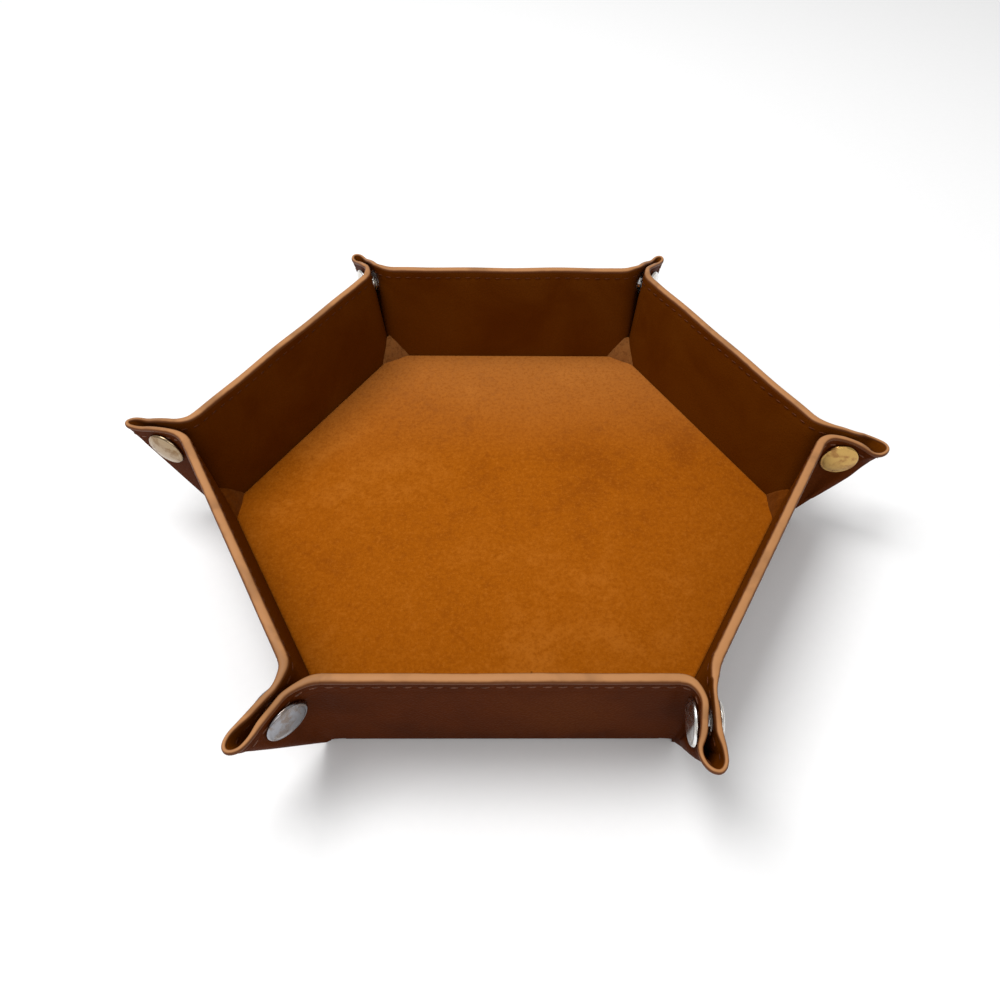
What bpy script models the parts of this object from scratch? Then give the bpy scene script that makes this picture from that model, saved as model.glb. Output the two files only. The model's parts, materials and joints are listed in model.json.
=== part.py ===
"""Hexagonal dice tray that folds flat, with a snap fastener at each of its six corners.

A boarded hexagonal base carries six boarded walls, each hinged on one edge of the base. At every corner
the soft material between two walls is a kite that pinches outwards into an ear: two flat halves, one
hinged on the end of each wall, held together by a snap of four pieces. The tray stands with its snaps
closed. Its origin is the middle of the base's underside, +Z is up and the front wall faces -Y.

Every hinge lies in the outer face of the outer skin, so all pieces come level when the tray is opened
flat. Walls and corners are numbered anticlockwise, and corner i lies between wall i and wall i + 1.
"""

import math

import bmesh
import bpy
from mathutils import Matrix, Vector

# Driving dimensions, in metres and radians
FLOOR_ACROSS = 0.167  # inside, from flat to flat, at the top of the floor
WALL_SLANT = 0.0416  # height of a wall, measured up its outer face
WALL_LEAN = math.radians(6.5)  # how far a wall leans out with the snaps closed

SKIN = 0.0006  # outer imitation leather
WALL_BOARD = 0.0010
WALL_LINING = 0.0006
BASE_BOARD = 0.0018
FLOOR_PAD = 0.0008  # suede cloth
EAR = 0.0011  # skin and lining sewn together, with no board between

BOARD_END_INSET = 0.0041  # from the end of a wall to the end of its board
BOARD_TOP_INSET = 0.0045  # from the rim to the top of the board, where the seam runs
BOARD_FOOT_INSET = 0.0006
CORNER_RELIEF = 0.0009  # how far the end of a wall stops short of the corner
FLOOR_CORNER_RADIUS = 0.006
EAR_TIP_RADIUS = 0.032  # rounding of the opened outline at its corners
EAR_FOOT = 0.006  # from the foot of the wall up to the bottom of the ear, where the cloth bunches
FOLD_BEVEL = 0.0008  # taken off the lining side of each half along the fold, so that it can close
EAR_SWING = tuple(math.radians(a) for a in (-30, -4, 0, 0, -22, -12))  # sideways, one for each corner

SNAP_BELOW_RIM = 0.0096
CAP_DIAMETER = 0.0125
CAP_HEIGHT = 0.0020
CAP_SHEET = 0.0005
POST_DIAMETER = 0.0026
SOCKET_DIAMETER = 0.0092
SOCKET_FLOOR = 0.0003
STUD_DIAMETER = 0.0088
STUD_FLANGE = 0.0004
STUD_WALL = 0.0006  # round the hollow of its knob

# Clearances
GAP = 0.0003  # between pieces that touch
KNOB_CLEARANCE = 0.0003  # round the stud's knob and past its end
SNAP_RUN = 0.0008  # between socket and flange, which lie at an angle to each other
CAP_FROM_NECK = 0.0004  # between a cap's rim and the end of the wall beside it

SIDES = 6
TURN = math.tau / SIDES
HALF_TURN = TURN / 2
WALLS = ("front", "front_right", "back_right", "back", "back_left", "front_left")
CORNERS = ("right_front", "right", "right_back", "left_back", "left", "left_front")

# Worked out from the dimensions above
SOCKET_BORE = POST_DIAMETER + 2 * (GAP + STUD_WALL + KNOB_CLEARANCE)
WALL_THICKNESS = SKIN + GAP + WALL_BOARD + GAP + WALL_LINING
FLOOR_TOP = SKIN + GAP + BASE_BOARD + GAP + FLOOR_PAD
WALL_DEPTH = WALL_THICKNESS / math.cos(WALL_LEAN)
HINGE_APOTHEM = FLOOR_ACROSS / 2 + WALL_DEPTH - FLOOR_TOP * math.tan(WALL_LEAN)
BASE_APOTHEM = HINGE_APOTHEM - WALL_DEPTH - GAP
WALL_WIDTH = 2 * HINGE_APOTHEM * math.tan(HALF_TURN) - 2 * CORNER_RELIEF
BOARD_WIDTH = WALL_WIDTH - 2 * BOARD_END_INSET
LINING_SETBACK = max(GAP / 2, WALL_THICKNESS * math.tan(HALF_TURN) + GAP - CORNER_RELIEF)

LEATHER = (0.085, 0.026, 0.010)
LINING_BROWN = (0.070, 0.022, 0.008)
SUEDE = (0.360, 0.100, 0.008)
GREYBOARD = (0.340, 0.300, 0.250)
CHROME = (0.780, 0.790, 0.800)

parts = bpy.data.collections.new("hexagonal_dice_tray")


def clear_scene():
    """Remove what the scene starts with and add the collection for the parts."""
    for thing in list(bpy.data.objects):
        bpy.data.objects.remove(thing, do_unlink=True)
    bpy.context.scene.collection.children.link(parts)


def material(name, colour, roughness, metallic=0.0):
    """A plain material for one piece."""
    made = bpy.data.materials.new(name)
    made.use_nodes = True
    shader = made.node_tree.nodes["Principled BSDF"]
    shader.inputs["Base Color"].default_value = (*colour, 1.0)
    shader.inputs["Roughness"].default_value = roughness
    shader.inputs["Metallic"].default_value = metallic
    made.diffuse_color = (*colour, 1.0)
    return made


def hinge(name, matrix, parent=None):
    """An empty on a joint's axis, which carries the pieces that turn about it."""
    thing = bpy.data.objects.new(name, None)
    thing.empty_display_size = 0.01
    parts.objects.link(thing)
    thing.parent = parent
    thing.matrix_local = matrix
    return thing


def add_piece(name, mesh, matrix, parent, finish):
    """One named object of the tray, placed under its hinge."""
    piece = bpy.data.objects.new(name, mesh)
    piece.data.materials.append(material(name, *finish))
    parts.objects.link(piece)
    piece.parent = parent
    piece.matrix_local = matrix
    return piece


def plate_mesh(name, thickness, *outlines):
    """A flat sheet from its outline, with any further outlines as holes, centred on its own XY plane."""
    curve = bpy.data.curves.new(name, "CURVE")
    curve.dimensions = "2D"
    curve.fill_mode = "BOTH"
    curve.extrude = thickness / 2
    for outline in outlines:
        spline = curve.splines.new("POLY")
        spline.points.add(len(outline) - 1)
        spline.use_cyclic_u = True
        for point, (x, y) in zip(spline.points, outline):
            point.co = (x, y, 0, 1)
    drawn = bpy.data.objects.new(name, curve)
    parts.objects.link(drawn)
    evaluated = drawn.evaluated_get(bpy.context.evaluated_depsgraph_get())
    mesh = bpy.data.meshes.new_from_object(evaluated)
    bpy.data.objects.remove(drawn)
    shape = bmesh.new()
    shape.from_mesh(mesh)
    bmesh.ops.remove_doubles(shape, verts=shape.verts, dist=1e-6)
    shape.to_mesh(mesh)
    shape.free()
    return mesh


def turned_piece(name, profile, steps, matrix, parent, finish):
    """A round piece from its profile of (radius, height) points, which runs down its outer side."""
    mesh = bpy.data.meshes.new(name)
    shape = bmesh.new()
    verts = [shape.verts.new((radius, 0, height)) for radius, height in profile]
    for start, end in zip(verts, verts[1:]):
        shape.edges.new((start, end))
    if profile[0][0] > 0:
        shape.edges.new((verts[-1], verts[0]))
    shape.to_mesh(mesh)
    shape.free()
    piece = add_piece(name, mesh, matrix, parent, finish)
    screw = piece.modifiers.new("turn", "SCREW")
    screw.steps = screw.render_steps = steps
    screw.use_merge_vertices = True
    screw.merge_threshold = 0.00001
    return piece


def arc(centre, radius, start, end, count):
    """Points of a circular arc in a plane, both ends included."""
    angles = [start + (end - start) * i / count for i in range(count + 1)]
    return [(centre[0] + radius * math.cos(a), centre[1] + radius * math.sin(a)) for a in angles]


def circle(centre, radius, count=24):
    """Points of a whole circle."""
    return arc(centre, radius, 0, math.tau * (count - 1) / count, count - 1)


def hexagon(apothem, corner_radius):
    """A hexagon with rounded corners, its flats square to the walls."""
    reach = (apothem - corner_radius) / math.cos(HALF_TURN)
    points = []
    for i in range(SIDES):
        angle = i * TURN
        centre = (reach * math.cos(angle), reach * math.sin(angle))
        points += arc(centre, corner_radius, angle - HALF_TURN, angle + HALF_TURN, 5)
    return points


def rectangle(width, low, high):
    """A rectangle centred on X, from low to high in Y."""
    return [(-width / 2, low), (width / 2, low), (width / 2, high), (-width / 2, high)]


def wall_frame(i):
    """The frame of wall i: X runs anticlockwise along its hinge, Y into the tray and Z up the wall."""
    out = Matrix.Translation((0, -HINGE_APOTHEM, 0))
    return Matrix.Rotation(i * TURN, 4, "Z") @ out @ Matrix.Rotation(WALL_LEAN, 4, "X")


def upright(depth):
    """Stands a plate up in its wall's or ear's plane, with its middle at that depth from the outer face."""
    return Matrix.Translation((0, depth, 0)) @ Matrix.Rotation(math.pi / 2, 4, "X")


class Corner:
    """Where corner i stands, which way its ear points, and where its snap is."""

    def __init__(self, i):
        self.index = i
        self.name = CORNERS[i]
        angle = i * TURN - TURN
        radial = Vector((math.cos(angle), math.sin(angle), 0))
        swung = angle + EAR_SWING[i]
        self.point = radial * HINGE_APOTHEM / math.cos(HALF_TURN)
        self.outward = Vector((math.cos(swung), math.sin(swung), 0))
        self.edge = (radial * math.tan(WALL_LEAN) / math.cos(HALF_TURN) + Vector((0, 0, 1))).normalized()
        self.normal = self.edge.cross(self.outward).normalized()
        level = self.point + self.edge * (WALL_SLANT - SNAP_BELOW_RIM)
        nearer_neck = min(side * (self.half(side)[3].inverted() @ level).x for side in (1, -1))
        self.snap = level + self.outward * (CAP_DIAMETER / 2 + CAP_FROM_NECK - nearer_neck)

    def half(self, side):
        """Wall number, fold angle and frame of one half of the ear: side 1 hangs on wall i, side -1 on the next."""
        wall = self.index if side > 0 else (self.index + 1) % SIDES
        frame = wall_frame(wall)
        along = frame.to_3x3().inverted() @ self.outward
        fold = math.atan2(-along.y, side * along.x)
        place = Matrix.Translation((side * WALL_WIDTH / 2, 0, 0)) @ Matrix.Rotation(-side * fold, 4, "Z")
        return wall, fold, place, frame @ place


def base_pieces():
    """The underside's skin, the board on it and the suede floor on top."""
    layers = (
        ("base_skin", SKIN, (LEATHER, 0.42)),
        ("base_board", BASE_BOARD, (GREYBOARD, 0.9)),
        ("floor_pad", FLOOR_PAD, (SUEDE, 0.95)),
    )
    low = 0
    for name, thickness, finish in layers:
        mesh = plate_mesh(name, thickness, hexagon(BASE_APOTHEM, FLOOR_CORNER_RADIUS))
        add_piece(name, mesh, Matrix.Translation((0, 0, low + thickness / 2)), None, finish)
        low += thickness + GAP


def wall_pieces(i):
    """The skin, board and lining of one wall, on the hinge along its foot."""
    turn = hinge(f"wall_hinge_{WALLS[i]}", wall_frame(i))
    board = rectangle(BOARD_WIDTH, BOARD_FOOT_INSET, WALL_SLANT - BOARD_TOP_INSET)
    layers = (
        ("wall_skin", SKIN, rectangle(WALL_WIDTH - GAP, 0, WALL_SLANT), (LEATHER, 0.42)),
        ("wall_board", WALL_BOARD, board, (GREYBOARD, 0.9)),
        ("wall_lining", WALL_LINING, rectangle(WALL_WIDTH - 2 * LINING_SETBACK, 0, WALL_SLANT),
         (LINING_BROWN, 0.5)),
    )
    depth = 0
    for name, thickness, outline, finish in layers:
        name = f"{name}_{WALLS[i]}"
        mesh = plate_mesh(name, thickness, outline)
        add_piece(name, mesh, upright(depth + thickness / 2), turn, finish)
        depth += thickness + GAP
    return turn


def fold_reach(height):
    """How far the fold's edge is from the end of the wall, at a height up that end."""
    return CORNER_RELIEF + height * math.tan(HALF_TURN) - GAP / 2 / math.cos(HALF_TURN)


def ear_outline(side):
    """One half of an ear in its own plane: up the end of the wall, out along the rim, down the fold."""
    level = WALL_SLANT - EAR_TIP_RADIUS
    middle = (CORNER_RELIEF + level * math.tan(HALF_TURN), level)
    tip = arc(middle, EAR_TIP_RADIUS, math.pi / 2, math.pi / 2 - HALF_TURN, 6)
    tip[-1] = (fold_reach(tip[-1][1]), tip[-1][1])
    points = [(fold_reach(EAR_FOOT), EAR_FOOT), (GAP / 2, EAR_FOOT), (GAP / 2, WALL_SLANT), *tip]
    return [(side * x, y) for x, y in points]


def cut_off(mesh, point, away):
    """Cut off what lies beyond a plane through the point, and close the mesh again."""
    shape = bmesh.new()
    shape.from_mesh(mesh)
    everything = [*shape.verts, *shape.edges, *shape.faces]
    cut = bmesh.ops.bisect_plane(shape, geom=everything, dist=1e-7, plane_co=point, plane_no=away,
                                 clear_outer=True)
    edges = [e for e in cut["geom_cut"] if isinstance(e, bmesh.types.BMEdge)]
    bmesh.ops.holes_fill(shape, edges=edges)
    bmesh.ops.recalc_face_normals(shape, faces=shape.faces)
    shape.to_mesh(mesh)
    shape.free()


def ear_half(corner, side, turn_of_wall):
    """One half of an ear with the hole for its snap, on a hinge along the end of its wall."""
    wall, fold, place, frame = corner.half(side)
    name = f"ear_{corner.name}_on_{WALLS[wall]}"
    turn = hinge(f"hinge_{name}", place, turn_of_wall)
    snap = frame.inverted() @ corner.snap
    hole = circle((snap.x, snap.z), POST_DIAMETER / 2 + GAP)
    mesh = plate_mesh(name, EAR, ear_outline(side), hole)
    stand = upright(EAR / 2)
    across_fold = Vector((side * math.cos(HALF_TURN), -math.sin(HALF_TURN), 0))
    bevel = across_fold * EAR - Vector((0, 0, FOLD_BEVEL))
    cut_off(mesh, Vector((side * fold_reach(EAR_FOOT), EAR_FOOT, EAR / 2)), bevel)
    to_plate = (frame @ stand).inverted()
    middle = to_plate @ (corner.point - corner.normal * side * GAP / 2)
    cut_off(mesh, middle, to_plate.to_3x3() @ corner.normal * side)
    add_piece(name, mesh, stand, turn, (LEATHER, 0.42))
    return turn, snap


def cap_profile(post_length):
    """A domed cap with a turned-in rim, hollow below, and its post."""
    radius = CAP_DIAMETER / 2
    post = POST_DIAMETER / 2
    hollow = CAP_HEIGHT - CAP_SHEET
    return [
        (0, CAP_HEIGHT),
        (radius * 0.55, CAP_HEIGHT * 0.95),
        (radius * 0.85, CAP_HEIGHT * 0.77),
        (radius, GAP + CAP_SHEET),
        (radius - CAP_SHEET / 2, GAP),
        (radius - 2 * CAP_SHEET, GAP),
        (radius - 2 * CAP_SHEET, hollow * 0.6),
        (post, hollow * 0.8),
        (post, -post_length),
        (0, -post_length),
    ]


def socket_profile(height):
    """A cup that stands on the lining and takes the stud's knob."""
    outer = SOCKET_DIAMETER / 2
    bore = SOCKET_BORE / 2
    hole = POST_DIAMETER / 2 + GAP
    top = GAP + height
    return [
        (outer - 2 * CAP_SHEET, top),
        (outer, GAP + SOCKET_FLOOR),
        (outer, GAP),
        (hole, GAP),
        (hole, GAP + SOCKET_FLOOR),
        (bore, GAP + SOCKET_FLOOR),
        (bore, top),
    ]


def stud_profile(knob_height):
    """A flange on the lining with a hollow knob that snaps into the socket."""
    flange = STUD_DIAMETER / 2
    knob = SOCKET_BORE / 2 - KNOB_CLEARANCE
    foot = GAP + STUD_FLANGE
    bore = POST_DIAMETER / 2 + GAP
    return [
        (bore, foot + knob_height),
        (knob - CAP_SHEET / 4, foot + knob_height),
        (knob, foot + knob_height * 0.7),
        (knob - CAP_SHEET / 4, foot),
        (flange, foot),
        (flange, GAP),
        (bore, GAP),
    ]


def snap_pieces(corner, cap_turn, cap_place, stud_turn, stud_place):
    """The four pieces of a snap: cap and socket on one half of the ear, post cap and stud on the other."""
    space = cap_place.y + stud_place.y - 2 * EAR
    socket_height = space - 2 * GAP - STUD_FLANGE - SNAP_RUN
    knob_height = space - 2 * GAP - STUD_FLANGE - SOCKET_FLOOR - KNOB_CLEARANCE
    post_length = EAR + GAP + SOCKET_FLOOR / 2
    steel = (CHROME, 0.12, 1.0)
    outward = Matrix.Rotation(math.pi / 2, 4, "X")
    inward = Matrix.Rotation(-math.pi / 2, 4, "X")

    def outside(place):
        return Matrix.Translation((place.x, 0, place.z)) @ outward

    def inside(place):
        return Matrix.Translation((place.x, EAR, place.z)) @ inward

    turned_piece(f"snap_cap_{corner.name}", cap_profile(post_length), 24, outside(cap_place), cap_turn, steel)
    turned_piece(f"snap_socket_{corner.name}", socket_profile(socket_height), 20, inside(cap_place), cap_turn,
                 steel)
    turned_piece(f"snap_post_cap_{corner.name}", cap_profile(post_length), 24, outside(stud_place), stud_turn,
                 steel)
    turned_piece(f"snap_stud_{corner.name}", stud_profile(knob_height), 20, inside(stud_place), stud_turn, steel)


def build():
    """Make the whole tray."""
    clear_scene()
    base_pieces()
    wall_turns = [wall_pieces(i) for i in range(SIDES)]
    for i in range(SIDES):
        corner = Corner(i)
        cap_turn, cap_place = ear_half(corner, 1, wall_turns[i])
        stud_turn, stud_place = ear_half(corner, -1, wall_turns[(i + 1) % SIDES])
        snap_pieces(corner, cap_turn, cap_place, stud_turn, stud_place)
    bpy.context.view_layer.update()


build()
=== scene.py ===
"""The look of the folding dice tray: leather walls, pinched ears, suede floor, stitching and snaps."""

import json
import math

import bpy
from mathutils import Matrix, Vector

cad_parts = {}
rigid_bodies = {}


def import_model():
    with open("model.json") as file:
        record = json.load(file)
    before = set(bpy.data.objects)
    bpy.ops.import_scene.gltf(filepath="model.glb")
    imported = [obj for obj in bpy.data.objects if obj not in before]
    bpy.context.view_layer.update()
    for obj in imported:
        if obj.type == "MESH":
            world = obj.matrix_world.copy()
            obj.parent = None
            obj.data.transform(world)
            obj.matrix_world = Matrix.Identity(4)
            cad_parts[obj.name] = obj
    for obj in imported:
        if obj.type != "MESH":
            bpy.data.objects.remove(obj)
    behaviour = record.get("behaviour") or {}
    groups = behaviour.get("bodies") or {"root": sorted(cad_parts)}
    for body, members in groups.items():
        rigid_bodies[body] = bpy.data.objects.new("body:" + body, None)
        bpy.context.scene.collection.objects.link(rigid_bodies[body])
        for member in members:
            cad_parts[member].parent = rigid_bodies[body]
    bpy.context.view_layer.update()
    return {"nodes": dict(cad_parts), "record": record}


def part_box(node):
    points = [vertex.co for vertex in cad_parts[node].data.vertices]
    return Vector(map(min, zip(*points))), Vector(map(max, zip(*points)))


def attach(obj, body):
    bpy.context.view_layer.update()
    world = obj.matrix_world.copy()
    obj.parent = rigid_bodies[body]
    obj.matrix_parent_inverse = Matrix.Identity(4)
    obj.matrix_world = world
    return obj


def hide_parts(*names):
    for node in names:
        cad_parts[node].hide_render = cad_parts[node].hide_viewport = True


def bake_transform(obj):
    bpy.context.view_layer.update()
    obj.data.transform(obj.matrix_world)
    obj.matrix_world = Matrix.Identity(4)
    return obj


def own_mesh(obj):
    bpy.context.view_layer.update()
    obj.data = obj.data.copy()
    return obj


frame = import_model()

JOINTS = {joint["name"]: joint for joint in frame["record"]["behaviour"]["joints"]}
WALLS = ("front", "front_right", "back_right", "back", "back_left", "front_left")
CORNERS = ("right_front", "right", "right_back", "left_back", "left", "left_front")
UP = Vector((0, 0, 1))
TAN_30 = math.tan(math.radians(30))

# The maker's sizes, in metres
SKIN = 0.0006
WALL_THICK = 0.0028
EAR_THICK = 0.0011
EAR_RIM_THICK = 0.0018
BOARD_END = 0.0041  # from the board's end to the neck of the ear
BOARD_TOP = 0.0045  # from the rim down to the board
BASE_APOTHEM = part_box("base_skin")[1].y
FLOOR_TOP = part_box("floor_pad")[1].z
FLOOR_CORNER = 0.005
FOOT_ROUND = 0.0016
LINING_UNDER = 0.0012  # how far the lining runs down behind the floor cloth
BEAD_DOWN = 0.0007  # from the rim's top to the middle of its rounded edge
BEAD_TALL = 0.0010
EAR_BEAD_DOWN = 0.0005
EAR_BEAD_TALL = 0.0008
STITCH_PITCH = 0.0038
STITCH_LENGTH = 0.0025
STITCH_WIDTH = 0.00055
SEAM_DOWN = 0.0030  # from the rim to the stitching
THREAD_SUNK = 0.00012  # how deep the outer stitches lie
THREAD_SUNK_INSIDE = 0.00006

# How each ear is bent: how far it stands off the flat at the neck and at the loop, and how its rim falls
EAR_OPEN = {"right_front": (-0.0006, 0.0012), "right": (0.0002, 0.0017), "right_back": (-0.0006, -0.0006),
            "left_back": (-0.0005, -0.0002), "left": (0.0001, 0.0000), "left_front": (-0.0006, 0.0004)}
RIM_FALL = {"right_front": 0.92, "right": 1.0, "right_back": 0.9, "left_back": 0.9, "left": 0.78,
            "left_front": 0.92}
RIM_SLOPE, RIM_CURVE, RIM_LEVEL = 0.19, 10.8, 0.70  # at the neck, per metre, and where it levels off
EAR_PARTS = {"neck": (0.0, 0.42), "loop": (0.42, 1.0)}  # the neck is the bend round the wall's end, the loop opens out flat


# ---------------------------------------------------------------- small helpers

def between(value, low, high):
    """0 below low, 1 above high, and an easy slope between."""
    t = min(1.0, max(0.0, (value - low) / (high - low)))
    return t * t * (3 - 2 * t)


def dent(value, middle, width):
    """1 at the middle, falling off smoothly on both sides."""
    return math.exp(-((value - middle) / width) ** 2)


def rounding(value, radius):
    """How far a rounded edge has drawn back, at a distance from the edge."""
    t = max(0.0, 1 - value / radius)
    return radius * (1 - math.sqrt(1 - t * t))


def close_rows(v):
    """Rows that lie closer together at both ends."""
    return v - 0.125 * math.sin(math.tau * v)


def fresh():
    bpy.ops.object.select_all(action="DESELECT")


def added(name):
    """The primitive just added, under its own name."""
    piece = bpy.context.object
    piece.name = piece.data.name = name
    return piece


def applied(piece, kind, **settings):
    """Adds a modifier to the piece and applies it."""
    fresh()
    piece.select_set(True)
    bpy.context.view_layer.objects.active = piece
    modifier = piece.modifiers.new(kind.lower(), kind)
    for key, value in settings.items():
        setattr(modifier, key, value)
    bpy.ops.object.modifier_apply(modifier=modifier.name)


def smooth(piece, sharpest=42):
    """Smooth shading, apart from edges that turn more sharply than that many degrees."""
    fresh()
    piece.select_set(True)
    bpy.context.view_layer.objects.active = piece
    bpy.ops.object.shade_smooth_by_angle(angle=math.radians(sharpest))


def closed(piece, ends=False):
    """Merges the seam of a piece, fills its open ends and turns its faces outwards."""
    fresh()
    piece.select_set(True)
    bpy.context.view_layer.objects.active = piece
    bpy.ops.object.mode_set(mode="EDIT")
    bpy.ops.mesh.select_all(action="SELECT")
    bpy.ops.mesh.remove_doubles(threshold=1e-6)
    if ends:
        bpy.ops.mesh.select_all(action="DESELECT")
        bpy.ops.mesh.select_mode(type="EDGE")
        bpy.ops.mesh.select_non_manifold(extend=False, use_wire=False, use_multi_face=False,
                                         use_non_contiguous=False, use_verts=False)
        bpy.ops.mesh.fill_holes(sides=0)
        bpy.ops.mesh.select_all(action="SELECT")
    bpy.ops.mesh.normals_make_consistent(inside=False)
    bpy.ops.object.mode_set(mode="OBJECT")


def laid(name, columns, rows, place, finish, thickness=0.0, marks=None):
    """A sheet of leather or cloth: a grid laid over place(u, v), then given its thickness inwards.
    marks holds functions of (u, v), each kept on the sheet as a named number for its finish."""
    fresh()
    bpy.ops.mesh.primitive_grid_add(x_subdivisions=columns, y_subdivisions=rows, size=2)
    piece = added(name)
    spots = [((v.co.x + 1) / 2, (v.co.y + 1) / 2) for v in piece.data.vertices]
    for vert, spot in zip(piece.data.vertices, spots):
        vert.co = place(*spot)
    for key, read in (marks or {}).items():
        layer = piece.data.attributes.new(key, "FLOAT", "POINT")
        for i, spot in enumerate(spots):
            layer.data[i].value = read(*spot)
    if thickness:
        applied(piece, "SOLIDIFY", thickness=thickness, offset=-1.0, use_even_offset=False,
                use_quality_normals=True)
        for vert in piece.data.vertices:
            vert.co.z = max(vert.co.z, 0.0)
    piece.data.materials.clear()
    piece.data.materials.append(finish)
    smooth(piece)
    return piece


# ---------------------------------------------------------------- where walls and ears stand

class Wall:
    """One wall: its hinge line, which way is out, and points at a place on its outer face."""

    def __init__(self, name):
        joint = JOINTS[f"wall_hinge_{name}"]
        self.name, self.body = name, f"wall_{name}"
        self.foot = Vector(joint["pos_m"])
        self.along = Vector(joint["axis"]).normalized()
        self.lean = math.radians(90 - joint["range_deg"][1])
        self.out = Vector((self.foot.x, self.foot.y, 0)).normalized()
        self.up = self.out * math.sin(self.lean) + UP * math.cos(self.lean)
        ear = next(j for j in JOINTS.values() if j["parent"] == self.body)
        reach = Vector(ear["pos_m"]) - self.foot
        self.half = abs(reach.dot(self.along))
        self.rim = 2 * reach.dot(self.up) * math.cos(self.lean)

    def at(self, across, height, depth=0.0):
        """The point that far along the wall, that high above the table, that deep behind its outer face."""
        return (self.foot + self.along * across + self.up * (height / math.cos(self.lean))
                - self.out * (depth / math.cos(self.lean)))


class Ear:
    """One corner: the ear's two halves and the line in the middle where they meet."""

    def __init__(self, i):
        self.name = CORNERS[i]
        self.walls = walls[i], walls[(i + 1) % 6]
        first, second = self.walls
        apothem = first.foot.to_2d().length
        self.foot = first.foot + first.along * apothem * TAN_30
        edge = (first.out * math.cos(first.lean) - UP * math.sin(first.lean)).cross(
            second.out * math.cos(second.lean) - UP * math.sin(second.lean))
        self.edge = edge / edge.z
        self.halves = [Half(self, first, 1), Half(self, second, -1)]

    def middle(self, height):
        return self.foot + self.edge * height

    def crest(self, height):
        """How far out the fold lies at a height, the same for both halves."""
        return sum(half.neck(height).dot(half.away) + half.cut(height) for half in self.halves) / 2


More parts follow.
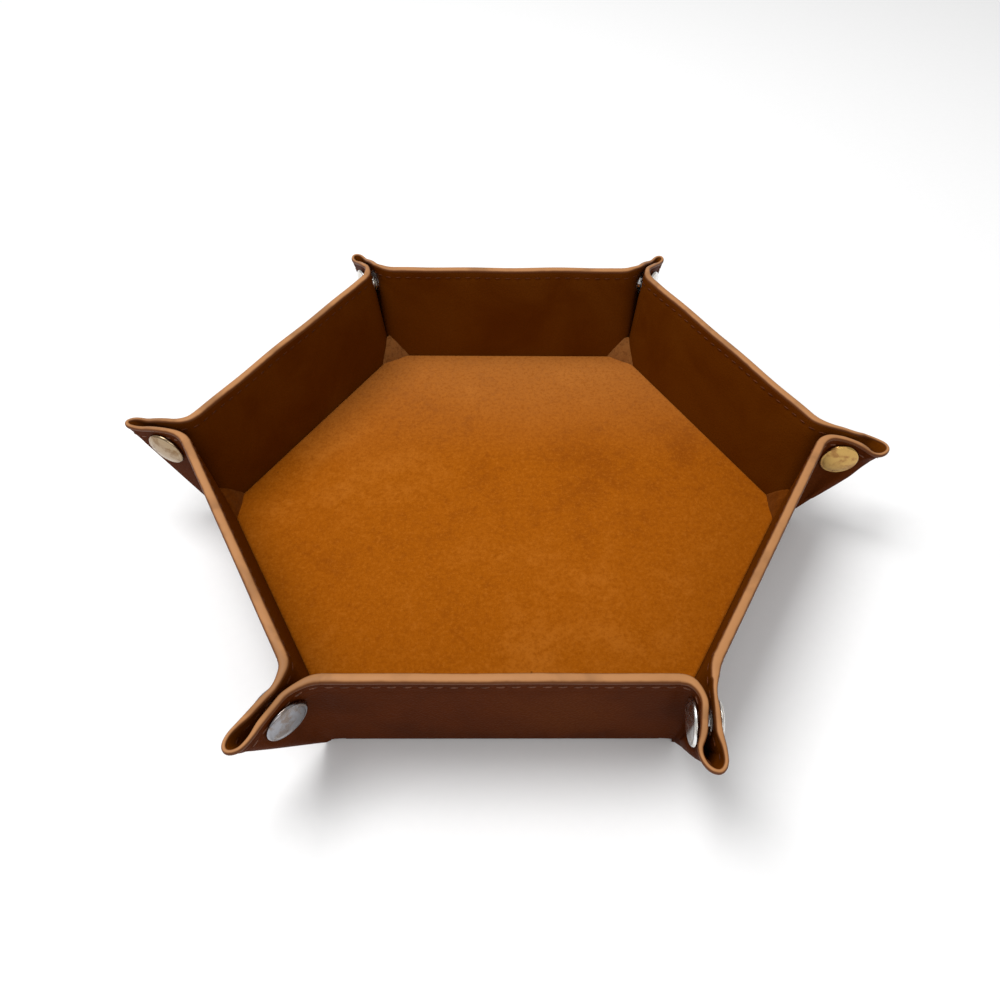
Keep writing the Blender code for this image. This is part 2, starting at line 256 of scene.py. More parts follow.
class Half:
    """Half of an ear, in level sections: along the wall, round the neck, out beside the other half,
    and round the loop to the fold."""

    BEND, FLAT = 0.36, 0.64

    def __init__(self, ear, wall, side):
        self.ear, self.wall, self.side = ear, wall, side
        self.name = f"{ear.name}_on_{wall.name}"
        self.body = f"ear_{self.name}"
        joint = JOINTS[f"hinge_{self.body}"]
        fold = math.radians(joint["range_deg"][1])
        self.along = wall.along * side
        self.flap = self.along * math.cos(fold) + wall.along.cross(wall.up) * math.sin(fold)
        self.away = (self.flap - wall.up * (self.flap.z / wall.up.z)).normalized()
        turn = math.acos(self.along.dot(self.away))
        self.face = -self.along * math.sin(turn) + wall.out * math.cos(turn)
        self.relief = wall.foot.to_2d().length * TAN_30 - wall.half
        self.cap = f"snap_cap_{ear.name}" if side > 0 else f"snap_post_cap_{ear.name}"
        low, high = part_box(self.cap)
        self.cap_middle = (low + high) / 2
        self.cap_past = (self.cap_middle - self.neck(self.cap_middle.z)).dot(self.away)
        self.tops = {}

    def neck(self, height):
        return self.wall.at(self.wall.half * self.side, height)

    def cut(self, height):
        """The fold as the leather is cut, half of the open angle between two walls."""
        up = self.away.dot(self.wall.up)
        return (self.relief + TAN_30 * height / self.wall.up.z) / (self.away.dot(self.flap) - up * TAN_30)

    def reach(self, height):
        """From the neck out to the fold."""
        return self.ear.crest(height) - self.neck(height).dot(self.away)

    def spread(self, past, height, loop_start):
        """How far the leather stands off its flat place: pressed in round the cap, open at the loop."""
        at_neck, at_loop = EAR_OPEN[self.ear.name]
        opening = at_neck * between(past, 0.0, 0.006)
        opening += (at_loop - at_neck) * between(past, 0.004, loop_start)
        from_cap = math.hypot(past - self.cap_past, height - self.cap_middle.z)
        return opening * between(from_cap, 0.0056, 0.0094) * between(height, 0.003, 0.022)

    def outline(self, u, height):
        """A point of the outer face in a level section, how far past the neck it is, and how far the
        face is from the middle of the ear there."""
        neck, reach = self.neck(height), self.reach(height)
        gap = (neck - self.ear.middle(height)).dot(self.face)
        loop = min((gap + self.spread(reach, height, reach * 0.7)) * 1.45, reach * 0.45)
        start = max(reach - loop, 0.0045)
        after = min(0.0026 + 0.0030 * between(height, 0.030, 0.041), (reach - loop) * 0.45)
        if u < self.BEND:
            k = u / self.BEND
            point = -self.along * (1 - k) ** 2 * BOARD_END + self.away * k * k * after
            heading = self.along * (1 - k) * BOARD_END + self.away * k * after
            past = k * after - (1 - k) * BOARD_END
            side = heading.cross(UP).normalized() * self.side
            swell = self.spread(past, height, start)
            return neck + point + side * swell, past, gap + swell
        if u < self.FLAT:
            past = after + (reach - loop - after) * (u - self.BEND) / (self.FLAT - self.BEND)
            swell = self.spread(past, height, start)
            return neck + self.away * past + self.face * swell, past, gap + swell
        turn = (u - self.FLAT) / (1 - self.FLAT) * math.pi / 2
        past = reach - loop + loop * math.sin(turn)
        wide = gap + self.spread(reach - loop, height, start)
        return neck + self.away * past + self.face * (wide * (math.cos(turn) - 0.004) - gap), past, wide

    def section(self, u, height):
        """A point of the outer face, which way it faces, how far past the neck it is, its room inwards."""
        point, past, wide = self.outline(u, height)
        step = 0.004
        ahead, behind = min(1.0, u + step), max(0.0, u - step)
        heading = self.outline(ahead, height)[0] - self.outline(behind, height)[0]
        return point, heading.normalized().cross(UP) * self.side, past, wide

    def rim(self, past):
        """Height of the rim, which falls towards the tip and is the same for both halves there."""
        ease, high = 4e-6, 0.032

        def run(x):
            start = 0.5 * (math.sqrt(BOARD_END ** 2 + ease) - BOARD_END)
            return 0.5 * (x + math.sqrt(x * x + ease)) - start

        whole = sum(half.reach(high) for half in self.ear.halves) / 2
        share = min(run(past) / self.reach(high), 1.0)
        steep = min(share, RIM_LEVEL)
        fall = RIM_SLOPE * whole * steep + RIM_CURVE * (whole * steep) ** 2
        slope = RIM_SLOPE * whole + 2 * RIM_CURVE * whole * whole * steep
        level = share - steep
        return self.wall.rim - RIM_FALL[self.ear.name] * (fall + slope * (level - level * level / 0.60))

    def top(self, u):
        """Height of the rim at a place in the section, found once by closing in on it."""
        if u not in self.tops:
            height = self.wall.rim
            for _ in range(12):
                height = self.rim(self.outline(u, height)[1])
            self.tops[u] = height
        return self.tops[u]

    def place(self, u, height, depth=0.0):
        """A point on the half at a depth behind its outer face."""
        point, normal = self.section(u, height)[:2]
        return point - normal * depth

    def depth(self, u, height):
        """Thickness of the half, which grows to that of the boarded wall."""
        past, wide = self.outline(u, height)[1:]
        ear = EAR_THICK + (EAR_RIM_THICK - EAR_THICK) * between(height, self.cap_middle.z + 0.0035,
                                                                self.cap_middle.z + 0.0065)
        thick = ear + (WALL_THICK - ear) * (1 - between(past, -BOARD_END, 0.0045))
        return min(thick, wide * 0.92 + 0.004 * (1 - between(past, -0.002, 0.003)))


walls = [Wall(name) for name in WALLS]
ears = [Ear(i) for i in range(6)]


# ---------------------------------------------------------------- finishes

class Tone:
    """A value or colour that varies over a surface. Sums on a value add Math nodes."""

    def __init__(self, finish, output):
        self.finish, self.output = finish, output

    def sum(self, operation, first, second):
        return self.finish.node("Math", {"operation": operation}, {0: first, 1: second})

    def __add__(self, other):
        return self.sum("ADD", self, other)

    def __radd__(self, other):
        return self.sum("ADD", other, self)

    def __sub__(self, other):
        return self.sum("SUBTRACT", self, other)

    def __rsub__(self, other):
        return self.sum("SUBTRACT", other, self)

    def __mul__(self, other):
        return self.sum("MULTIPLY", self, other)

    def __rmul__(self, other):
        return self.sum("MULTIPLY", other, self)


class Finish:
    """A material and the nodes behind it."""

    def __init__(self, name, **fixed):
        self.material = bpy.data.materials.new(name)
        self.material.use_nodes = True
        self.tree = self.material.node_tree
        self.shader = self.tree.nodes["Principled BSDF"]
        for key, value in fixed.items():
            self.shader.inputs[key.replace("_", " ")].default_value = value
        self.spot = self.node("TexCoord", take="Object")

    def node(self, kind, settings=None, inputs=None, take=0):
        """A node of a kind, with its settings made first, then the values or links of its sockets."""
        made = self.tree.nodes.new("ShaderNode" + kind)
        for key, value in (settings or {}).items():
            if key == "stops":
                ramp = made.color_ramp
                while len(ramp.elements) < len(value):
                    ramp.elements.new(0.5)
                for stop, (place, colour) in zip(ramp.elements, value):
                    stop.position, stop.color = place, (*colour, 1.0)
            else:
                setattr(made, key, value)
        for key, value in (inputs or {}).items():
            if isinstance(value, Tone):
                self.tree.links.new(value.output, made.inputs[key])
            else:
                made.inputs[key].default_value = value
        return Tone(self, made.outputs[take])

    def noise(self, scale, detail=3.0, roughness=0.55, distortion=0.0):
        return self.node("TexNoise", None, {"Vector": self.spot, "Scale": scale, "Detail": detail,
                                            "Roughness": roughness, "Distortion": distortion})

    def step(self, value, low, high):
        """0 below low and 1 above high, smoothly between."""
        return self.node("MapRange", {"interpolation_type": "SMOOTHSTEP"},
                         {"Value": value, "From Min": low, "From Max": high})

    def mix(self, first, second, share):
        """One colour over another by a share that varies."""
        def full(colour):
            return colour if isinstance(colour, Tone) else (*colour, 1.0)
        return self.node("Mix", {"data_type": "RGBA"}, {0: share, 6: full(first), 7: full(second)}, take=2)

    def mark(self, name):
        """A number kept on the piece itself."""
        return self.node("Attribute", {"attribute_name": name}, take="Fac")

    def bump(self, height, distance, strength=1.0):
        return self.node("Bump", None, {"Strength": strength, "Distance": distance, "Height": height})

    def done(self, **varying):
        for key, tone in varying.items():
            self.tree.links.new(tone.output, self.shader.inputs[key.replace("_", " ")])
        return self.material


def leather(name, brown, worn, deep, gloss, grain=1500.0, pebble=0.00006):
    """Smooth imitation leather: fine pebbled grain, a mottled brown and a soft uneven sheen."""
    f = Finish(name, Specular_IOR_Level=0.014, Specular_Tint=(1.0, 0.50, 0.22, 1.0))
    cells = f.node("TexVoronoi", {"feature": "SMOOTH_F1"},
                   {"Vector": f.spot, "Scale": grain, "Smoothness": 0.6}, take="Distance")
    fine = f.noise(grain * 1.9, 2.0)
    clouds = f.noise(32.0, 4.0, 0.6, 0.4)
    patches = f.noise(9.0, 2.0, 0.5)
    colour = f.mix(deep, brown, f.step(clouds, 0.30, 0.60))
    colour = f.mix(colour, worn, f.step(patches * 0.7 + clouds * 0.5, 0.60, 0.86) * 0.5)
    colour = f.mix(colour, deep, f.step(cells, 0.30, 0.62) * 0.30)
    height = f.step(cells, 0.05, 0.75) * -0.8 + fine * 0.35
    rough = gloss + clouds * 0.16 + fine * 0.06
    return f.done(Base_Color=colour, Roughness=rough, Normal=f.bump(height, pebble))


def suede(name, tan, light, dark):
    """Brushed suede cloth: a faint lie of the nap, a fine mottle, short fibres, and a painted sheen that
    makes it paler towards the back wall.
    """
    f = Finish(name, Specular_IOR_Level=0.03, Sheen_Weight=0.12, Sheen_Roughness=0.6,
               Sheen_Tint=(1.0, 0.45, 0.14, 1.0))
    broad = f.noise(13.0, 3.0, 0.55, 0.5)
    strokes = f.noise(46.0, 4.0, 0.6, 0.8)
    mottle = f.noise(300.0, 5.0, 0.7)
    fibres = f.noise(1900.0, 3.0, 0.7)
    nap = broad * 0.45 + strokes * 0.30 + mottle * 0.25
    colour = f.mix(dark, tan, f.step(nap, 0.36, 0.50))
    colour = f.mix(colour, light, f.step(nap, 0.50, 0.66) * 0.7)
    colour = f.mix(colour, dark, f.step(mottle, 0.50, 0.34) * 0.30)
    colour = f.mix(colour, light, f.step(fibres, 0.52, 0.74) * 0.45)
    tufts = f.noise(760.0, 3.0, 0.75)
    # Painted sheen: the suede is made paler and warmer towards the back wall, in place of the sheen its nap
    # shows there when seen at a low angle.
    towards_back = f.node("SeparateXYZ", None, {0: f.spot}, take="Y")
    painted_back_sheen = f.step(towards_back + broad * 0.03, 0.030, 0.105) * 0.22
    colour = f.mix(colour, (0.62, 0.30, 0.10), painted_back_sheen)
    colour = f.mix(colour, dark, f.step(tufts, 0.52, 0.36) * 0.42)
    colour = f.mix(colour, light, f.step(tufts, 0.52, 0.68) * 0.42)
    specks = f.node("TexVoronoi", {"feature": "F1"}, {"Vector": f.spot, "Scale": 46.0}, take="Distance")
    sparse = f.step(specks, 0.026, 0.012) * f.step(strokes, 0.55, 0.62) * 0.7
    colour = f.mix(colour, (0.06, 0.016, 0.001), sparse)
    height = fibres * 0.35 + tufts * 0.45 + mottle * 0.20
    return f.done(Base_Color=colour, Roughness=0.93 + fibres * 0.07, Normal=f.bump(height, 0.00030))


def edge_paint(name, tan, side):
    """The rim: tan edge dressing on top, running into the brown at its shoulders."""
    f = Finish(name, Specular_IOR_Level=0.15)
    soft = f.noise(260.0, 3.0)
    streaks = f.noise(60.0, 3.0, 0.6, 0.5)
    crown = f.step(f.mark("crown") + (soft - 0.5) * 0.30, 0.45, 0.92)
    top = f.mix(tan, tuple(c * 0.74 for c in tan), f.step(streaks, 0.45, 0.66))
    colour = f.mix(side, top, crown)
    return f.done(Base_Color=colour, Roughness=0.40 + soft * 0.2, Normal=f.bump(soft, 0.00008))


def thread(name, brown):
    """Waxed sewing thread with its twist."""
    f = Finish(name, Specular_IOR_Level=0.15)
    twist = f.noise(1400.0, 2.0)
    colour = f.mix(brown, tuple(c * 0.55 for c in brown), f.step(twist, 0.42, 0.62))
    return f.done(Base_Color=colour, Roughness=0.48 + twist * 0.15, Normal=f.bump(twist, 0.0001))


def nickel(name, bright, stain_and_reflection, dull):
    """Bright plate that has been handled: faint smeared patches, warm staining and tiny scratches. On the
    caps that have colours of their own, the bright and the warm colour are painted reflections of the leather
    and the table around them.
    """
    f = Finish(name, Specular_IOR_Level=0.5)
    smears_and_reflection = f.noise(230.0, 3.0, 0.6, 0.3)
    spots = f.noise(700.0, 3.0)
    colour = f.mix(bright, stain_and_reflection, f.step(smears_and_reflection, 0.44, 0.62) * dull)
    rough = 0.16 + f.step(smears_and_reflection, 0.40, 0.70) * 0.14 + spots * 0.05
    return f.done(Base_Color=colour, Roughness=rough, Metallic=f.step(smears_and_reflection, -1.0, -0.5),
                  Normal=f.bump(smears_and_reflection * 0.8 + spots * 0.2, 0.00003))


def greyboard(name):
    """Pressed grey board with fibres in it."""
    f = Finish(name, Specular_IOR_Level=0.2)
    pulp, flecks = f.noise(420.0, 5.0, 0.7), f.noise(1500.0, 2.0)
    colour = f.mix((0.24, 0.20, 0.16), (0.42, 0.37, 0.30), f.step(pulp, 0.35, 0.65))
    return f.done(Base_Color=colour, Roughness=0.85 + flecks * 0.1, Normal=f.bump(pulp, 0.0002))


outer_leather = leather("brown_outer_leather", (0.074, 0.0150, 0.0022), (0.096, 0.0250, 0.0045),
                        (0.052, 0.0098, 0.0010), 0.40)
lining_leather = leather("dark_wall_lining", (0.108, 0.0265, 0.0010), (0.135, 0.0400, 0.0040),
                         (0.086, 0.0185, 0.0006), 0.50, grain=1900.0, pebble=0.00004)
floor_suede = suede("tan_floor_suede", (0.318, 0.079, 0.0010), (0.410, 0.120, 0.0090), (0.240, 0.054, 0.0005))
# Painted shade: the corner tucks are the same suede as the floor, coloured darker for the shade they sit in
# at the mouth of each ear.
shade_painted_tuck_suede = suede("shaded_corner_suede", (0.120, 0.027, 0.0008), (0.165, 0.042, 0.0025),
                   (0.080, 0.017, 0.0004))
rim_tan = edge_paint("tan_rim_edge", (0.40, 0.182, 0.068), (0.110, 0.032, 0.006))
brown_thread = thread("brown_sewing_thread", (0.170, 0.066, 0.034))
lining_thread = thread("dark_sewing_thread", (0.098, 0.021, 0.002))
# Painted reflection: these three caps are the same nickel as the rest, coloured grey, golden and tan with
# brown to copy the leather and table mirrored in them.
CAP_PAINTED_REFLECTIONS = {
    "left_front": nickel("cloudy_nickel_cap", (0.29, 0.29, 0.31), (0.17, 0.095, 0.035), 0.55),
    "right": nickel("golden_stained_cap", (0.52, 0.32, 0.10), (0.34, 0.17, 0.055), 0.9),
    "left": nickel("tan_stained_cap", (0.34, 0.245, 0.15), (0.20, 0.110, 0.045), 0.8)}
plain_cap = nickel("plain_nickel_cap", (0.80, 0.80, 0.79), (0.50, 0.42, 0.32), 0.5)
inner_nickel = nickel("snap_inner_nickel", (0.80, 0.80, 0.80), (0.55, 0.48, 0.36), 0.4)
grey_board = greyboard("grey_core_board")


# ---------------------------------------------------------------- walls

def outer_relief(down, from_board_end):
    """Depth of the marks in the outer leather: the pulled-in seam, the board's edges and the rolled top."""
    seam = 0.00018 * dent(down, SEAM_DOWN, 0.0006)
    board_top = 0.00010 * dent(down, BOARD_TOP + 0.0006, 0.0009)
    board_end = 0.00009 * dent(from_board_end, 0.0, 0.0012) * between(down, 0.0025, 0.009)
    return seam + board_top + board_end + 0.6 * rounding(down, 0.0011)


def waver(wall, across):
    """The slight unevenness of a hand-finished rim, gone at the wall's ends."""
    end = between(wall.half - BOARD_END - abs(across), 0.0, 0.012)
    turn = WALLS.index(wall.name) * 1.7
    return end * (0.00013 * math.sin(across * 190 + turn) + 0.00010 * math.sin(across * 83 + 2 * turn))


def wall_outer(wall):
    """The outer leather of a wall, from under the base round the foot and up to the rim."""
    span = wall.half - BOARD_END
    under = (wall.foot.to_2d().length - BASE_APOTHEM) * math.cos(wall.lean)

    def place(u, v):
        across = (2 * u - 1) * span
        if v < 0.05:  # flat, under the base
            return wall.at(across, 0.0, under + (FOOT_ROUND - under) * v / 0.05)
        if v < 0.20:  # round the foot
            turn = (v - 0.05) / 0.15 * math.pi / 2
            return wall.at(across, FOOT_ROUND * (1 - math.cos(turn)), FOOT_ROUND * (1 - math.sin(turn)))
        top = wall.rim + waver(wall, across)
        height = FOOT_ROUND + (top - FOOT_ROUND) * close_rows((v - 0.20) / 0.80)
        puff = 0.00012 * math.sin(math.pi * min(1.0, height / 0.037)) * (1 - (across / span) ** 4)
        return wall.at(across, height, outer_relief(top - height, span - abs(across)) - puff)

    piece = laid(f"wall_leather_{wall.name}", 72, 60, place, outer_leather, SKIN)
    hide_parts(f"wall_skin_{wall.name}")
    wall.at(0, 0.0, 0.0018)
    wall.at(0, 0.0018, 0.0)
    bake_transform(piece)


def wall_lining(wall):
    """The smooth lining on the inside of a wall."""
    span = wall.half - BOARD_END

    def place(u, v):
        across = (1 - 2 * u) * span
        top = wall.rim + waver(wall, across) - 0.0003
        low = FLOOR_TOP - LINING_UNDER
        height = low + (top - low) * close_rows(v)
        down = top - height
        back = 0.00012 * dent(down, SEAM_DOWN, 0.0007) + 0.6 * rounding(down, 0.0009)
        board = 0.00006 * dent(span - abs(across), 0.0, 0.0014) * between(down, 0.002, 0.008)
        return wall.at(across, height, WALL_THICK - back - board)

    piece = laid(f"wall_lining_cloth_{wall.name}", 60, 44, place, lining_leather, SKIN)
    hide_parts(f"wall_lining_{wall.name}")
    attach(piece, wall.body)


def hinge_lining(wall):
    """The strip of lining over the fold at the foot of a wall, laid in the place it takes while the wall
    stands.
    """
    span = wall.half - 0.0010
    low, high = wall.at(0, 0.0007, 0.0030), wall.at(0, 0.0029, 0.0021)

    def place(u, v):
        across = (1 - 2 * u) * span
        return wall.at(across, 0.0007 + 0.0022 * v, 0.0030 - 0.0009 * v - 0.0002 * math.sin(math.pi * v))

    piece = laid(f"hinge_lining_{wall.name}", 60, 24, place, lining_leather, 0.0003)
    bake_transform(piece)
    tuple(low)
    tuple(high)


def bead(name, along, centre, width, tall):
    """A rounded rim strip: centre(u) gives its middle and its way across, width(u) and tall(u) its width
    and its half height."""
    rings = {}

    def ring(u):
        if u not in rings:
            rings[u] = (*centre(u), width(u), tall(u))
        return rings[u]

    def place(u, v):
        middle, side, wide, high = ring(u)
        circle = math.cos(math.tau * v), math.sin(math.tau * v)
        across, rise = (math.copysign(abs(x) ** 0.85, x) for x in circle)
        return middle + side * across * (wide / 2 + 0.00006) + UP * rise * high

    def crown(u, v):
        return math.sin(math.tau * v) - 0.12 * (1 - between(ring(u)[2], EAR_THICK, WALL_THICK))

    piece = laid(name, along, 20, place, rim_tan, marks={"crown": crown})
    closed(piece, ends=True)
    smooth(piece)
    return piece


def wall_rim(wall):
    span = wall.half - BOARD_END

    def centre(u):
        across = (2 * u - 1) * span
        return wall.at(across, wall.rim + waver(wall, across) - BEAD_DOWN, WALL_THICK / 2), wall.out

    piece = bead(f"rim_{wall.name}", 60, centre, lambda u: WALL_THICK, lambda u: BEAD_TALL)
    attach(piece, wall.body)


# ---------------------------------------------------------------- ears

def moved(half, part, piece):
    """Leaves a piece of the neck fixed where it is made, or lets a piece of the loop move with its half as
    the ear opens.
    """
    if part == "neck":
        start = half.wall.at((half.wall.half - BOARD_END) * half.side, 0.02)
        half.neck(0.02) + half.flap * BOARD_END
        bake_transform(piece)
    else:
        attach(piece, half.body)
        half.flap.cross(half.wall.up)
        half.neck(0.02) - half.face * 0.0005
        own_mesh(piece)


def ear_outer(half, part):
    """The outer leather of half an ear, from the board's end round the neck and the loop to the fold."""
    first, last = EAR_PARTS[part]

    def place(u, v):
        u = first + (last - first) * (u if half.side > 0 else 1 - u)
        top = half.top(u)
        if v < 0.12:
            turn = v / 0.12 * math.pi / 2
            height, inward = FOOT_ROUND * (1 - math.cos(turn)), FOOT_ROUND * (1 - math.sin(turn))
        else:
            height, inward = FOOT_ROUND + (top - FOOT_ROUND) * close_rows((v - 0.12) / 0.88), 0.0
        point, normal, past, wide = half.section(u, height)
        room = min(wide * 0.6, half.reach(height) * 0.5)
        room += (FOOT_ROUND - room) * (1 - between(u, 0.0, half.BEND))
        return point - normal * (min(inward, room) + outer_relief(top - height, past + BOARD_END))

    piece = laid(f"ear_leather_{part}_{half.name}", 30, 48, place, outer_leather, SKIN)
    if part == "loop":
        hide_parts(half.body)
    moved(half, part, piece)


def ear_lining(half, part):
    """The lining on the inside of half an ear, thin where the wall's board has ended."""
    first, last = EAR_PARTS[part]

    def place(u, v):
        u = first + (last - first) * (1 - u if half.side > 0 else u)
        top, low = half.top(u) - 0.0003, FLOOR_TOP - LINING_UNDER
        height = low + (top - low) * close_rows(v)
        down = top - height
        back = 0.00010 * dent(down, SEAM_DOWN, 0.0007) + 0.4 * rounding(down, 0.0006)
        return half.place(u, height, half.depth(u, height) - back)

    piece = laid(f"ear_lining_{part}_{half.name}", 28, 40, place, lining_leather, 0.0004)
    moved(half, part, piece)


def ear_rim(half, part):
    """The rim edge round half an ear, narrow where there is no board."""
    first, last = EAR_PARTS[part]

    def width(u):
        u = first + (last - first) * u
        return half.depth(u, half.top(u))

    def boarded(u):
        return between(width(u), EAR_RIM_THICK, WALL_THICK)

    def centre(u):
        down = EAR_BEAD_DOWN + (BEAD_DOWN - EAR_BEAD_DOWN) * boarded(u)
        u = first + (last - first) * u
        top = half.top(u)
        point, normal = half.section(u, top)[:2]
        return point - normal * half.depth(u, top) / 2 - UP * down, normal

    def tall(u):
        return EAR_BEAD_TALL + (BEAD_TALL - EAR_BEAD_TALL) * boarded(u)

    moved(half, part, bead(f"rim_ear_{part}_{half.name}", 30, centre, width, tall))


# ---------------------------------------------------------------- stitching

def stitched(name, spots, finish):
    """A row of stitches, one copied to each (point, along, out)."""
    fresh()
    bpy.ops.mesh.primitive_uv_sphere_add(segments=8, ring_count=6, radius=1.0)
    first = added(name)
    first.data.materials.append(finish)
    smooth(first)
    row = []
    for point, along, out in spots:
        stitch = first.copy()
        stitch.data = first.data.copy()
        bpy.context.collection.objects.link(stitch)
        side = out.cross(along).normalized()
        along = (along + side * 0.09).normalized()
        side = out.cross(along).normalized()
        size = STITCH_LENGTH / 2, STITCH_WIDTH / 2, STITCH_WIDTH * 0.42
        axes = Matrix([along * size[0], side * size[1], out * size[2]]).transposed().to_4x4()
        stitch.data.transform(Matrix.Translation(point) @ axes)
        row.append(stitch)
    bpy.data.objects.remove(first)
    fresh()
    for stitch in row:
        stitch.select_set(True)
    bpy.context.view_layer.objects.active = row[0]
    bpy.ops.object.join()
    return added(name)


def wall_stitching(wall):
    """A row of stitches along each side of a wall."""
    span = wall.half - BOARD_END
    count = round(2 * span / STITCH_PITCH)
    lean = wall.out * math.cos(wall.lean) - UP * math.sin(wall.lean)
    outside, inside = [], []
    for i in range(count):
        across = ((i + 0.5) / count * 2 - 1) * span
        height = wall.rim + waver(wall, across) - SEAM_DOWN
        outside.append((wall.at(across, height, THREAD_SUNK), wall.along, lean))
        inside.append((wall.at(across, height, WALL_THICK - THREAD_SUNK_INSIDE), wall.along, -lean))
    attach(stitched(f"stitches_outside_{wall.name}", outside, brown_thread), wall.body)
    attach(stitched(f"stitches_inside_{wall.name}", inside, lining_thread), wall.body)


def ear_stitching(half):
    """The same two rows round the neck and along the ear, spaced along their own path."""
    def row(inside):
        steps = []
        for i in range(151):
            u = i / 160
            height = half.top(u) - SEAM_DOWN
            point, normal = half.section(u, height)[:2]
            depth = half.depth(u, height) - THREAD_SUNK_INSIDE if inside else THREAD_SUNK
            steps.append((u, point - normal * depth, -normal if inside else normal))
        spots, run, due = {"neck": [], "loop": []}, 0.0, STITCH_PITCH / 2
        for (_, before, _), (u, here, out) in zip(steps, steps[1:]):
            run += (here - before).length
            if run >= due:
                part = "neck" if u < EAR_PARTS["neck"][1] else "loop"
                spots[part].append((here, (here - before).normalized(), out))
                due += STITCH_PITCH
        return spots

    for word, finish in (("outside", brown_thread), ("inside", lining_thread)):
        for part, spots in row(word == "inside").items():
            moved(half, part, stitched(f"stitches_{word}_ear_{part}_{half.name}", spots, finish))


# ---------------------------------------------------------------- floor and corners

FLOOR_EDGE = (walls[0].foot.to_2d().length - WALL_THICK / math.cos(walls[0].lean)
              + FLOOR_TOP * math.tan(walls[0].lean) - 0.0001)


def hex_reach(turn, apothem, corner):
    """From the middle to the edge of a round-cornered hexagon, in a direction."""
    angle = (turn + math.pi / 2 + math.pi / 6) % (math.pi / 3) - math.pi / 6
    flat = apothem / math.cos(angle)
    reach = (apothem - corner) / math.cos(math.pi / 6)
    off = math.pi / 6 - abs(angle)
    if reach * math.sin(off) >= corner:
        return flat
    arc = reach * math.cos(off) + math.sqrt(corner ** 2 - (reach * math.sin(off)) ** 2)
    return min(flat, arc)


def suede_floor():
    """The suede cloth of the floor, its edge turned down beside the walls."""
    def place(u, v):
        turn = math.tau * u
        share = 1 - (1 - v) ** 1.6
        reach = hex_reach(turn, FLOOR_EDGE, FLOOR_CORNER)
        far = reach * share
        x, y = far * math.cos(turn), far * math.sin(turn)
        soft = 0.00005 * math.sin(x * 130 + 1) * math.sin(y * 110) + 0.00004 * math.sin(x * 61 - y * 47)
        down = rounding(reach - far, 0.0012) * 0.5
        return Vector((x, y, FLOOR_TOP + soft * between(reach - far, 0.002, 0.02) - down))

    piece = laid("floor_suede_cloth", 192, 56, place, floor_suede)
    closed(piece)
    applied(piece, "SOLIDIFY", thickness=0.0007, offset=-1.0)
    smooth(piece)
    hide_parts("floor_pad")
    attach(piece, "base")
    across = 2 * FLOOR_EDGE
    cut_area = across ** 2 * math.sqrt(3) / 2 * 0.995  # a little less for the rounded corners


def corner_tuck(ear):
    """The corner of the suede, which rises into the mouth of the ear as a small rounded fold."""
    inward = -Vector((ear.foot.x, ear.foot.y, 0)).normalized()
    first, second = ear.walls
    low, from_end, deep = FLOOR_TOP - 0.0010, 0.0070, WALL_THICK - 0.0002
    one = first.at(first.half - from_end, low, deep)
    two = second.at(from_end - second.half, low, deep)
    floor_corner = ear.middle(low) + inward * 0.0050
    tip = ear.middle(FLOOR_TOP + 0.0078) + inward * 0.0022

    def bow(start, control, end, u):
        return start * (1 - u) ** 2 + control * 2 * u * (1 - u) + end * u * u

    def place(u, v):
        rise = bow(one, tip * 2 - (one + two) / 2, two, u)
        foot = bow(one, floor_corner + inward * 0.0022, two, u)
        belly = math.sin(math.pi * v) * (4 * u * (1 - u)) ** 0.7
        crease = 0.0004 * math.sin(u * 17 + v * 3) * v * 4 * u * (1 - u)
        return foot.lerp(rise, v) + (inward * 0.8 + UP * 0.6) * 0.0009 * belly + inward * crease

    # The darker suede paints the shade in the mouth of the ear.
    piece = laid(f"corner_tuck_{ear.name}", 28, 16, place, shade_painted_tuck_suede, 0.0006)
    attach(piece, "base")
    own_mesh(piece)


# ---------------------------------------------------------------- snaps

def turned(name, profile, segments, finish):
    """A round piece: a disc pulled out ring by ring to each (radius, height) of its profile."""
    fresh()
    radius, height = profile[0]
    bpy.ops.mesh.primitive_circle_add(vertices=segments, radius=radius, fill_type="TRIFAN",
                                      location=(0, 0, height))
    piece = added(name)
    bpy.ops.object.transform_apply(location=True, rotation=True, scale=True)
    bpy.ops.object.mode_set(mode="EDIT")
    bpy.ops.mesh.select_mode(type="EDGE")
    bpy.ops.mesh.select_all(action="DESELECT")
    bpy.ops.mesh.select_non_manifold(extend=False, use_wire=False, use_multi_face=False,
                                     use_non_contiguous=False, use_verts=False)
    for (r0, h0), (r1, h1) in zip(profile, profile[1:]):
        bpy.ops.mesh.extrude_edges_move(TRANSFORM_OT_translate={"value": (0, 0, h1 - h0)})
        bpy.ops.transform.resize(value=(r1 / r0, r1 / r0, 1))
    bpy.ops.mesh.fill_holes(sides=0)
    bpy.ops.mesh.select_all(action="SELECT")
    bpy.ops.mesh.normals_make_consistent(inside=False)
    bpy.ops.object.mode_set(mode="OBJECT")
    piece.data.materials.append(finish)
    smooth(piece)
    return piece


CAP_DOME = [(0.0010, 0.00197), (0.0022, 0.00193), (0.0034, 0.00181), (0.0044, 0.00163), (0.0050, 0.00147),
            (0.00525, 0.00136), (0.00545, 0.00134), (0.00565, 0.00136), (0.0059, 0.00122), (0.0061, 0.00098),
            (0.00622, 0.00070), (0.00618, 0.00048), (0.0060, 0.00033), (0.0056, 0.00030), (0.0030, 0.00030)]


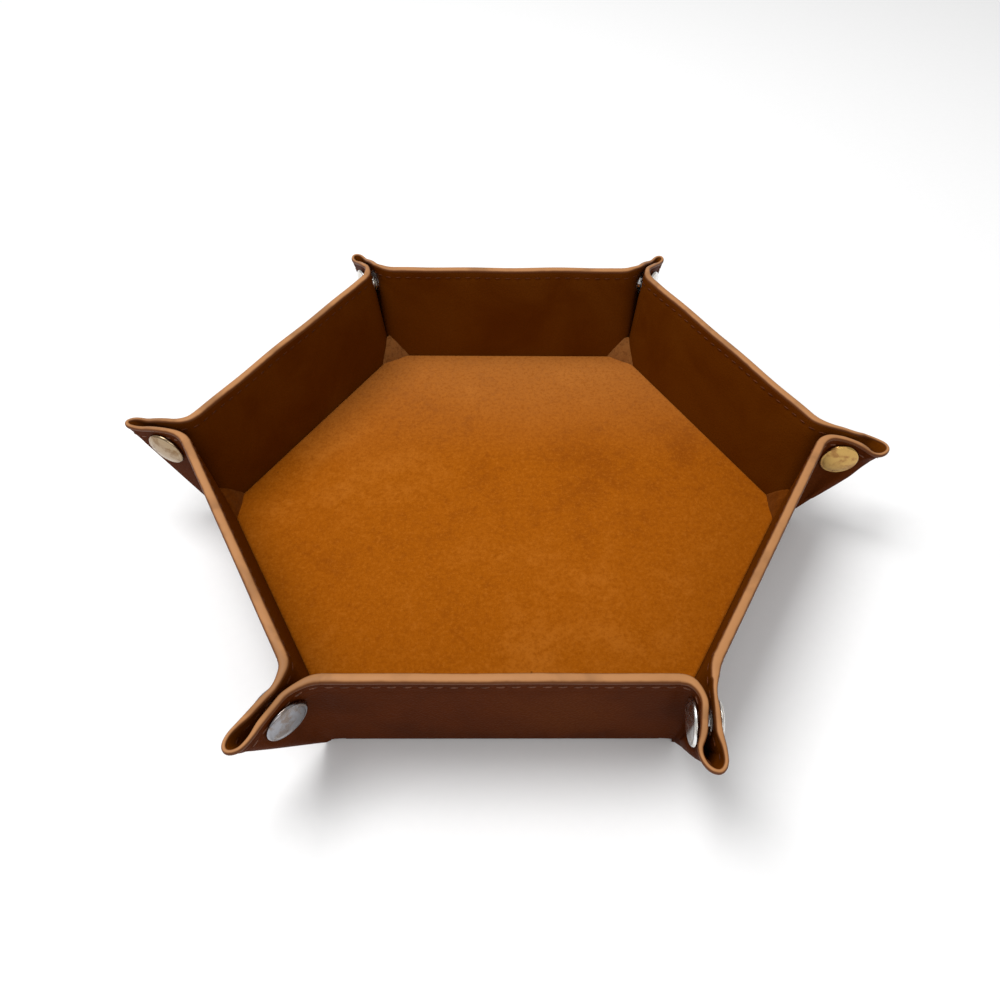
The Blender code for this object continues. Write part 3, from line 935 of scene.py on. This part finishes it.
def snap_cap(half, dome):
    """The domed cap on the outside of half an ear, where the snap's post comes through."""
    hinge = half.wall.at(half.wall.half * half.side, 0.0)
    middle = half.cap_middle - hinge
    point = hinge + half.flap * middle.dot(half.flap) + half.wall.up * middle.dot(half.wall.up)
    out = half.flap.cross(half.wall.up) * half.side
    piece = dome.copy()
    piece.data = dome.data.copy()
    piece.name = piece.data.name = half.cap.replace("cap", "cap_dome")
    bpy.context.collection.objects.link(piece)
    axes = Matrix([half.flap * half.side, half.wall.up, out]).transposed().to_4x4()
    piece.data.transform(Matrix.Translation(point) @ axes)
    # Three caps take nickel with painted reflections in its colours; the others take plain nickel.
    piece.data.materials[0] = CAP_PAINTED_REFLECTIONS.get(half.ear.name, plain_cap)
    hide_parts(half.cap)
    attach(piece, half.body)


for name, node in frame["nodes"].items():
    if "board" in name:
        node.material_slots[0].material = grey_board
    elif name.startswith("snap"):
        node.material_slots[0].material = inner_nickel
    elif name == "base_skin":
        node.material_slots[0].material = outer_leather

for wall in walls:
    wall_outer(wall)
    wall_lining(wall)
    hinge_lining(wall)
    wall_rim(wall)
    wall_stitching(wall)
for ear in ears:
    for half in ear.halves:
        for part in EAR_PARTS:
            ear_outer(half, part)
            ear_lining(half, part)
            ear_rim(half, part)
        ear_stitching(half)
    corner_tuck(ear)
suede_floor()

dome = turned("dome", CAP_DOME, 48, plain_cap)
for ear in ears:
    for half in ear.halves:
        snap_cap(half, dome)
bpy.data.objects.remove(dome)


# ---------------------------------------------------------------- table, light and camera

def tabletop():
    fresh()
    bpy.ops.mesh.primitive_plane_add(size=8, location=(0, 0, -0.0001))
    table = added("pale_tabletop")
    f = Finish("pale_matt_table", Specular_IOR_Level=0.1)
    speck = f.noise(300.0, 2.0)
    table.data.materials.append(f.done(Base_Color=f.mix((0.86, 0.86, 0.86), (0.88, 0.88, 0.88), speck),
                                       Roughness=0.8 + speck * 0.1))


def softbox(name, place, aim, size, power, colour=(1, 1, 1)):
    lamp = bpy.data.lights.new(name, "AREA")
    lamp.shape, lamp.size, lamp.size_y = "RECTANGLE", *size
    lamp.energy, lamp.color = power, colour
    thing = bpy.data.objects.new(name, lamp)
    bpy.context.scene.collection.objects.link(thing)
    thing.location = place
    thing.rotation_euler = (Vector(aim) - Vector(place)).to_track_quat("-Z", "Y").to_euler()


def studio():
    scene = bpy.context.scene
    scene.view_settings.view_transform = "Standard"
    scene.world = scene.world or bpy.data.worlds.new("studio")
    scene.world.use_nodes = True
    sky = scene.world.node_tree.nodes["Background"]
    sky.inputs["Color"].default_value = (1.0, 1.0, 1.0, 1.0)
    sky.inputs["Strength"].default_value = 0.55
    softbox("key", (-0.34, 0.14, 1.00), (0, 0, 0), (0.56, 0.56), 8.8)
    softbox("fill", (0.2, -0.9, 0.7), (0, 0, 0), (0.9, 0.6), 2.5)


def camera():
    """Looks down into the tray from the front, a little turned and rolled."""
    azimuth, elevation, roll = (math.radians(a) for a in (1.010, 48.479, 0.903))
    ahead = Vector((math.sin(azimuth) * math.cos(elevation), math.cos(azimuth) * math.cos(elevation),
                    -math.sin(elevation)))
    right = ahead.cross(UP).normalized()
    above = right.cross(ahead)
    across = right * math.cos(roll) + above * math.sin(roll)
    upward = above * math.cos(roll) - right * math.sin(roll)
    lens = bpy.data.cameras.new("camera")
    lens.sensor_width, lens.lens, lens.shift_x = 36.0, 30.168, -0.0276
    lens.clip_start = 0.01
    thing = bpy.data.objects.new("camera", lens)
    bpy.context.scene.collection.objects.link(thing)
    axes = Matrix([across, upward, -ahead]).transposed().to_4x4()
    thing.matrix_world = Matrix.Translation((0.00413, -0.19358, 0.22556)) @ axes
    bpy.context.scene.camera = thing


tabletop()
studio()
camera()
